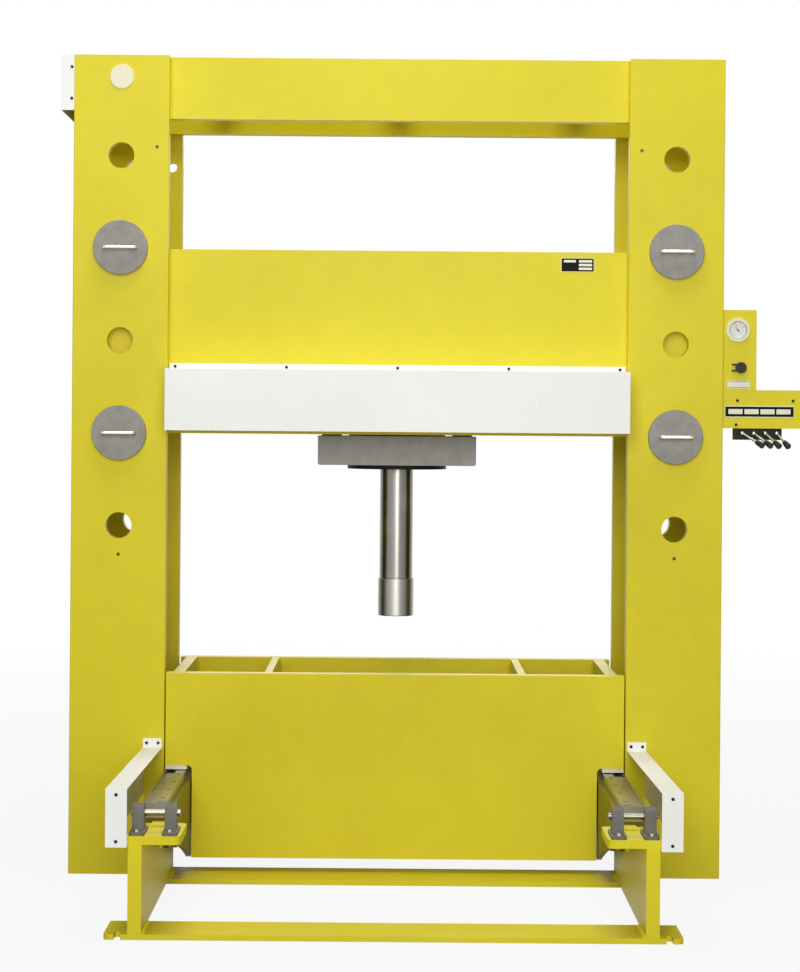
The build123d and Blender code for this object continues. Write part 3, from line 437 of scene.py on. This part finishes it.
finishOfSlot = {
    "yellow_paint": "yellow", "white_paint": "white", "grey_paint": "grey", "grey_zinc": "zinc",
    "machined_steel": "rail", "chromed_rod": "rod", "cast_grey": "cast", "black_steel": "black",
    "bearing_bronze": "bronze", "black_plastic": "blackPlastic", "white_plastic": "plug",
    "dial_white": "card", "clear_glass": "glass", "pale_plate": "pale",
}
# the rail supports take the darker copy of the yellow paint, which is painted shade
finishOfNode = {
    "ram_nose": "nose", "rail_support_left": "shadedYellow", "rail_support_right": "shadedYellow",
    "pin_upper_left": "pin", "pin_upper_right": "pin", "pin_lower_left": "pin", "pin_lower_right": "pin",
}
for part in frame["record"]["subparts"]:
    name = part["node"]
    if name.startswith("valve_lever_"):
        material = makeLever(int(name[-1]))
    else:
        material = finishes[finishOfNode.get(name, finishOfSlot[part["material_slot"]])]
    nodes[name].data.materials.clear()
    nodes[name].data.materials.append(material)
print("nodes dressed")


# Small pieces on the solids

def addPiece(name, build, finish, body):
    mesh = bpy.data.meshes.new(name)
    work = bmesh.new()
    build(work)
    bmesh.ops.recalc_face_normals(work, faces=work.faces)
    work.to_mesh(mesh)
    work.free()
    mesh.materials.append(finishes[finish])
    piece = bpy.data.objects.new(name, mesh)
    scene.collection.objects.link(piece)
    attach(piece, body)


seamGap = 1e-5        # corners nearer than this belong to one point of the solid


def solidBoxes(name):
    # lowest and highest corners of a node's separate solids, from left to right
    work = bmesh.new()
    work.from_mesh(nodes[name].data)
    bmesh.ops.remove_doubles(work, verts=work.verts, dist=seamGap)
    unseen = set(work.verts)
    boxes = []
    while unseen:
        queue = [unseen.pop()]
        corners = []
        while queue:
            vert = queue.pop()
            corners.append(vert.co.copy())
            for edge in vert.link_edges:
                other = edge.other_vert(vert)
                if other in unseen:
                    unseen.remove(other)
                    queue.append(other)
        low = Vector([min(corner[n] for corner in corners) for n in range(3)])
        high = Vector([max(corner[n] for corner in corners) for n in range(3)])
        boxes.append((low, high))
    work.free()
    return sorted(boxes, key=lambda box: (box[0].x, box[0].z))


def closeRings(work, rings):
    # walls between rings of points that follow each other
    for first, second in zip(rings, rings[1:]):
        count = len(first)
        for n in range(count):
            work.faces.new((first[n], first[(n + 1) % count], second[(n + 1) % count], second[n]))


plateLook = {
    "cells": 4, "border": 0.005, "gap": 0.006, "cellShare": 0.42, "stripInset": (0.002, 0.006),
    "thick": 0.0006, "thin": 0.0003, "corner": 0.0015, "cornerSteps": 5, "bevel": 0.4,
    "lineHeight": 0.0012, "lineInset": 0.0035, "lineCorner": 0.0004,
    "fieldInset": 0.003, "windowHeight": 0.008, "windowStep": 0.0125, "windowOffset": 0.026,
    "windowWide": 0.044, "windowNarrow": 0.04, "windowCorner": 0.001,
}


def roundedPlate(work, centre, width, height, thick, corner):
    # a plate that faces the viewer: its back lies at the centre's Y and it stands forward
    steps = plateLook["cornerSteps"]
    points = []
    for quarter, (sx, sz) in enumerate(((1, 1), (-1, 1), (-1, -1), (1, -1))):
        for step in range(steps):
            angle = math.pi / 2 * (quarter + step / (steps - 1))
            points.append((centre[0] + sx * (width / 2 - corner) + corner * math.cos(angle),
                           centre[2] + sz * (height / 2 - corner) + corner * math.sin(angle)))
    edge = min(thick, corner) * plateLook["bevel"]
    rings = []
    for inset, depth in ((0, 0), (0, thick - edge), (edge, thick)):
        ring = []
        for x, z in points:
            inward = Vector((centre[0] - x, 0, centre[2] - z)).normalized() * inset
            ring.append(work.verts.new(Vector((x, centre[1] - depth, z)) + inward))
        rings.append(ring)
    closeRings(work, rings)
    work.faces.new(rings[0])
    work.faces.new(rings[-1])


def dressPlates():
    look = plateLook
    dataPlate, strip, label = solidBoxes("plain_plates")
    thick, corner = look["thick"], look["corner"]

    def middleOf(box):
        return Vector(((box[0].x + box[1].x) / 2, box[0].y, (box[0].z + box[1].z) / 2))

    def sizeOf(box):
        return box[1].x - box[0].x, box[1].z - box[0].z

    stripMiddle = middleOf(strip)
    stripWide, stripTall = sizeOf(strip)
    insetX, insetZ = look["stripInset"]
    cellWide = (stripWide - 2 * look["border"] - (look["cells"] + 1) * look["gap"]) / look["cells"]

    def border(work):
        roundedPlate(work, stripMiddle, stripWide - insetX, stripTall - insetZ, thick, corner)

    def cells(work):
        for n in range(look["cells"]):
            x = strip[0].x + look["border"] + look["gap"] + cellWide / 2 + n * (cellWide + look["gap"])
            middle = (x, stripMiddle.y - thick, stripMiddle.z)
            roundedPlate(work, middle, cellWide, stripTall * look["cellShare"], thick, corner)
    addPiece("stripBorder", border, "ink", "frame")
    addPiece("stripCells", cells, "pale", "frame")

    labelMiddle = middleOf(label)
    labelWide, labelTall = sizeOf(label)

    def lines(work):
        for side in (-1, 1):
            z = labelMiddle.z + side * (labelTall / 2 - look["lineInset"])
            roundedPlate(work, (labelMiddle.x, labelMiddle.y, z), labelWide - 2 * look["lineInset"],
                         look["lineHeight"], look["thin"], look["lineCorner"])
    addPiece("labelLines", lines, "ink", "frame")

    dataMiddle = middleOf(dataPlate)
    dataWide, dataTall = sizeOf(dataPlate)

    def field(work):
        inset = look["fieldInset"]
        roundedPlate(work, dataMiddle, dataWide - inset, dataTall - inset, thick, corner)

    def windows(work):
        places = [(look["windowOffset"], row, look["windowWide"]) for row in (-1, 0, 1)]
        places.append((-look["windowOffset"], 1, look["windowNarrow"]))
        for x, row, wide in places:
            middle = dataMiddle + Vector((x, -thick, row * look["windowStep"]))
            roundedPlate(work, middle, wide, look["windowHeight"], look["thin"], look["windowCorner"])
    addPiece("dataField", field, "ink", "frame")
    addPiece("dataWindows", windows, "pale", "frame")


gaugeLook = {
    "ticks": 28, "longEvery": 4, "start": 225, "sweep": 270,        # degrees round the dial
    "inner": 0.0225, "shortInner": 0.025, "outer": 0.0275, "width": 0.0006, "longWidth": 0.0011,
    "thick": 0.0002, "digit": 0.006, "digitReach": 0.0178,
    "ringOuter": 0.0298, "ringInner": 0.0286, "ringSteps": 64,
}


def dressGauge():
    look = gaugeLook
    low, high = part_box("gauge_dial")
    centre = Vector(((low.x + high.x) / 2, low.y, (low.z + high.z) / 2))

    def angleOf(n):
        return math.radians(look["start"] - look["sweep"] * n / look["ticks"])

    def ticks(work):
        for n in range(look["ticks"] + 1):
            long = n % look["longEvery"] == 0
            inner = look["inner"] if long else look["shortInner"]
            width = look["longWidth"] if long else look["width"]
            turn = Matrix.Rotation(-angleOf(n), 4, "Y")
            middle = centre + turn @ Vector(((inner + look["outer"]) / 2, -look["thick"] / 2, 0))
            size = Matrix.Diagonal((look["outer"] - inner, look["thick"], width, 1))
            bmesh.ops.create_cube(work, size=1, matrix=Matrix.Translation(middle) @ turn @ size)

    # a thin black ring at the dial's rim: painted shade, standing for the bezel's inner wall in shadow
    def ring(work):
        rings = []
        for radius, depth in (("ringOuter", 0), ("ringOuter", 1), ("ringInner", 1), ("ringInner", 0)):
            points = []
            for n in range(look["ringSteps"]):
                angle = 2 * math.pi * n / look["ringSteps"]
                across = Vector((math.cos(angle), 0, math.sin(angle))) * look[radius]
                points.append(work.verts.new(centre + across - Vector((0, depth * look["thick"], 0))))
            rings.append(points)
        closeRings(work, rings + rings[:1])
    addPiece("gaugeTicks", ticks, "ink", "frame")
    addPiece("gaugeBezelShade", ring, "ink", "frame")

    for n in range(0, look["ticks"] + 1, look["longEvery"]):
        name = "dialNumber%d" % n
        text = bpy.data.curves.new(name, "FONT")
        text.body = str(n // look["longEvery"])
        text.size = look["digit"]
        text.align_x = "CENTER"
        text.align_y = "CENTER"
        text.materials.append(finishes["ink"])
        number = bpy.data.objects.new(name, text)
        scene.collection.objects.link(number)
        across = Vector((math.cos(angleOf(n)), 0, math.sin(angleOf(n)))) * look["digitReach"]
        number.location = centre + across - Vector((0, look["thick"], 0))
        number.rotation_euler = (math.pi / 2, 0, 0)
        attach(number, "frame")


weldLook = {
    "leg": 0.008, "ripple": 0.0009, "pitch": 0.002, "sides": 5, "beat": (1, 0.2, -0.6),
    "runStart": 0.35, "runStep": 0.3, "hollow": 0.2,
    "root": 0.001, "clear": 0.012, "foot": 0.06,
    "wallThick": 0.038, "webThick": 0.025, "sideThick": 0.04, "shelfThick": 0.03,
    "tubeX": (-0.6, 0, 0.6), "tubeZ": 2.64, "tubeRadius": 0.045, "tubeSteps": 48,
}


def weldBead(work, start, end, sideA, sideB):
    # a rippled fillet in the corner between two faces whose outward directions are sideA and sideB
    look = weldLook
    start, end = Vector(start), Vector(end)
    sideA, sideB = Vector(sideA), Vector(sideB)
    along = end - start
    count = max(2, int(along.length / look["pitch"]))
    rows = []
    for step in range(count + 1):
        grow = look["leg"] + look["ripple"] * look["beat"][step % len(look["beat"])]
        taper = min(1, look["runStart"] + min(step, count - step) * look["runStep"])
        middle = start + along * (step / count)
        row = [work.verts.new(middle)]
        for side in range(look["sides"]):
            angle = math.pi / 2 * side / (look["sides"] - 1)
            swell = grow * taper * (1 - look["hollow"] + look["hollow"] * abs(math.cos(2 * angle)))
            row.append(work.verts.new(middle + (sideA * math.cos(angle) + sideB * math.sin(angle)) * swell))
        rows.append(row)
    closeRings(work, rows)
    work.faces.new(rows[0])
    work.faces.new(rows[-1])


def dressTableWelds():
    look = weldLook
    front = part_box("table_front_plate")
    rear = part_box("table_rear_plate")
    wallLeft, ribLeft, ribRight, wallRight = solidBoxes("table_walls")
    top = front[1].z - look["clear"]
    notch = wallLeft[0].z + look["clear"]
    foot = front[0].z + look["clear"]
    corners = []
    for rib in (ribLeft, ribRight):
        corners += [(rib[0].x, -1, foot), (rib[1].x, 1, foot)]
    inner = wallRight[0].x
    for side in (-1, 1):
        corners += [(side * inner, -side, notch), (side * (inner + look["wallThick"]), side, notch)]

    def beads(work):
        for x, outward, low in corners:
            for y, inward in ((front[1].y, 1), (rear[0].y, -1)):
                weldBead(work, (x, y, low), (x, y, top), (outward, 0, 0), (0, inward, 0))
    addPiece("tableWelds", beads, "yellow", "table")


def dressFrameWelds():
    look = weldLook
    clear = look["clear"]
    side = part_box("side_frame_right")
    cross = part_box("front_cross_plate")
    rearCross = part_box("rear_cross_plate")
    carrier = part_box("rail_support_right")
    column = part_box("column_front_plate_right")
    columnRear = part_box("column_rear_plate_right")
    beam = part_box("beam_front_plate")
    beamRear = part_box("beam_rear_plate")
    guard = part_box("guard_right")
    outerX = guard[0].x - look["root"]        # the guard lies on the side plate's outer face
    innerX = guard[0].x - look["sideThick"] - look["root"]
    shelfLow = side[1].z - look["shelfThick"]
    webX = column[1].x - look["webThick"]
    beamBack = beamRear[1].y - (beam[1].y - beam[0].y)        # the front face of the beam's rear plate
    floorPlate = cross[1].z
    frontEnd = side[0].y + clear

    def beads(work):
        for sign in (-1, 1):
            for x, outward in ((sign * innerX, -sign), (sign * outerX, sign)):
                weldBead(work, (x, frontEnd, floorPlate), (x, cross[1].y - clear, floorPlate),
                         (outward, 0, 0), (0, 0, 1))
                weldBead(work, (x, rearCross[0].y + clear, floorPlate), (x, column[0].y - clear, floorPlate),
                         (outward, 0, 0), (0, 0, 1))
            weldBead(work, (sign * innerX, frontEnd, shelfLow), (sign * innerX, carrier[0].y, shelfLow),
                     (-sign, 0, 0), (0, 0, -1))
            for y, forward in ((column[1].y, 1), (columnRear[0].y, -1)):
                weldBead(work, (sign * webX, y, look["foot"]), (sign * webX, y, beam[0].z - clear),
                         (-sign, 0, 0), (0, forward, 0))
            for y, forward in ((beam[1].y, 1), (beamBack, -1)):
                weldBead(work, (sign * webX, y, beam[0].z + clear), (sign * webX, y, beam[1].z - clear),
                         (-sign, 0, 0), (0, forward, 0))
    addPiece("frameWelds", beads, "yellow", "frame")

    def rings(work):
        radius, steps = look["tubeRadius"], look["tubeSteps"]
        for x in look["tubeX"]:
            for y, forward in ((beam[1].y, 1), (beamBack, -1)):
                centre = Vector((x, y, look["tubeZ"]))
                for n in range(steps):
                    first, middle, last = [2 * math.pi * (n + part) / steps for part in (0, 0.5, 1)]
                    start, outward, end = [Vector((math.cos(angle), 0, math.sin(angle)))
                                           for angle in (first, middle, last)]
                    weldBead(work, centre + start * radius, centre + end * radius, outward, (0, forward, 0))
    addPiece("beamWelds", rings, "yellow", "frame")


dressPlates()
dressGauge()
dressTableWelds()
dressFrameWelds()
print("small pieces added")


# Room, light and camera

roomLook = {
    "floorSize": 60.0, "floorDrop": 0.0005, "floor": (186, 186, 183), "floorShade": (180, 180, 177),
    "clouds": (3, 3), "world": 0.06,
    "near": 3.0, "far": 9.0, "glowNear": 0.9,        # the floor fades to white from near to far
}


def makeRoom():
    look = roomLook
    height = cadBox[0][2] - look["floorDrop"]
    bpy.ops.mesh.primitive_plane_add(size=look["floorSize"], location=(0, 0, height))
    floor = bpy.context.object
    floor.name = "studioFloor"
    pale = Finish("studioFloorFinish", Roughness=0.9, Specular_IOR_Level=0.1)
    clouds = pale.noise(*look["clouds"])
    pale.wear(Base_Color=pale.mix(clouds, tint(*look["floorShade"]), tint(*look["floor"])))
    rays = [pale.add("ShaderNodeLightPath", {}, {}, ray)
            for ray in ("Is Camera Ray", "Is Glossy Ray", "Is Transmission Ray")]
    glow = pale.add("ShaderNodeEmission", {}, {"Color": (1, 1, 1, 1), "Strength": 1.0})
    away = pale.reach((0, 0, 0)) * (1 / look["far"])
    fade = pale.curve(away, [(look["near"] / look["far"], look["glowNear"]), (1, 1)])
    lit = Wire(pale.tree, pale.shader.outputs[0])
    sockets = {0: (rays[0] + rays[1] + rays[2]) * fade, 1: lit, 2: glow}
    blend = pale.add("ShaderNodeMixShader", {}, sockets)
    pale.feed(pale.tree.nodes["Material Output"].inputs["Surface"], blend)
    floor.data.materials.append(pale.material)

    world = bpy.data.worlds.new("studioAir")
    scene.world = world
    world.use_nodes = True
    tree = world.node_tree
    air = tree.nodes["Background"]
    air.inputs["Color"].default_value = (1, 1, 1, 1)
    air.inputs["Strength"].default_value = look["world"]
    path = tree.nodes.new("ShaderNodeLightPath")
    seen = Wire(tree, path.outputs["Is Camera Ray"]) + Wire(tree, path.outputs["Is Glossy Ray"])
    seen = seen + Wire(tree, path.outputs["Is Transmission Ray"])
    white = tree.nodes.new("ShaderNodeBackground")
    white.inputs["Color"].default_value = (1, 1, 1, 1)
    mixer = tree.nodes.new("ShaderNodeMixShader")
    tree.links.new(seen.socket, mixer.inputs[0])
    tree.links.new(air.outputs[0], mixer.inputs[1])
    tree.links.new(white.outputs[0], mixer.inputs[2])
    tree.links.new(mixer.outputs[0], tree.nodes["World Output"].inputs["Surface"])


lampLook = {
    "key": {"place": (-0.8, -8.8, 4.2), "aim": (0, 0, 1.7), "size": 4.5, "power": 355},
    "fill": {"place": (0.8, -8.4, 1.9), "aim": (0, 0, 1.0), "size": 3.0, "power": 120},
    "top": {"place": (0, -1.0, 6.2), "aim": (0, 0, 0), "size": 3.0, "power": 190},
    "back": {"place": (0, 6.5, 5.0), "aim": (0, 0, 1.4), "size": 4.0, "power": 230},
}


def makeLamps():
    for name, look in lampLook.items():
        data = bpy.data.lights.new(name + "Lamp", "AREA")
        data.size = look["size"]
        data.energy = look["power"]
        lamp = bpy.data.objects.new(name + "Lamp", data)
        lamp.location = look["place"]
        way = Vector(look["aim"]) - Vector(look["place"])
        lamp.rotation_euler = way.to_track_quat("-Z", "Y").to_euler()
        scene.collection.objects.link(lamp)


cameraLook = {
    "place": (-0.009, -9.12, 1.496), "roll": 0.47, "film": 36,
    "imageSize": (800, 972), "focal": 2665, "vanish": (394.5, 424),        # in the photograph's pixels
}


def makeCamera():
    look = cameraLook
    wide, tall = look["imageSize"]
    vanishX, vanishY = look["vanish"]
    data = bpy.data.cameras.new("viewCamera")
    data.sensor_width = look["film"]
    data.lens = look["focal"] * look["film"] / tall
    data.shift_x = (wide / 2 - vanishX) / tall
    data.shift_y = (vanishY - tall / 2) / tall
    camera = bpy.data.objects.new("viewCamera", data)
    level = Matrix.Rotation(math.pi / 2, 4, "X")
    roll = Matrix.Rotation(math.radians(look["roll"]), 4, "Z")
    camera.matrix_world = Matrix.Translation(look["place"]) @ level @ roll
    scene.collection.objects.link(camera)
    scene.camera = camera


makeRoom()
makeLamps()
makeCamera()
scene.view_settings.view_transform = "Standard"
print("room, lamps and camera set")
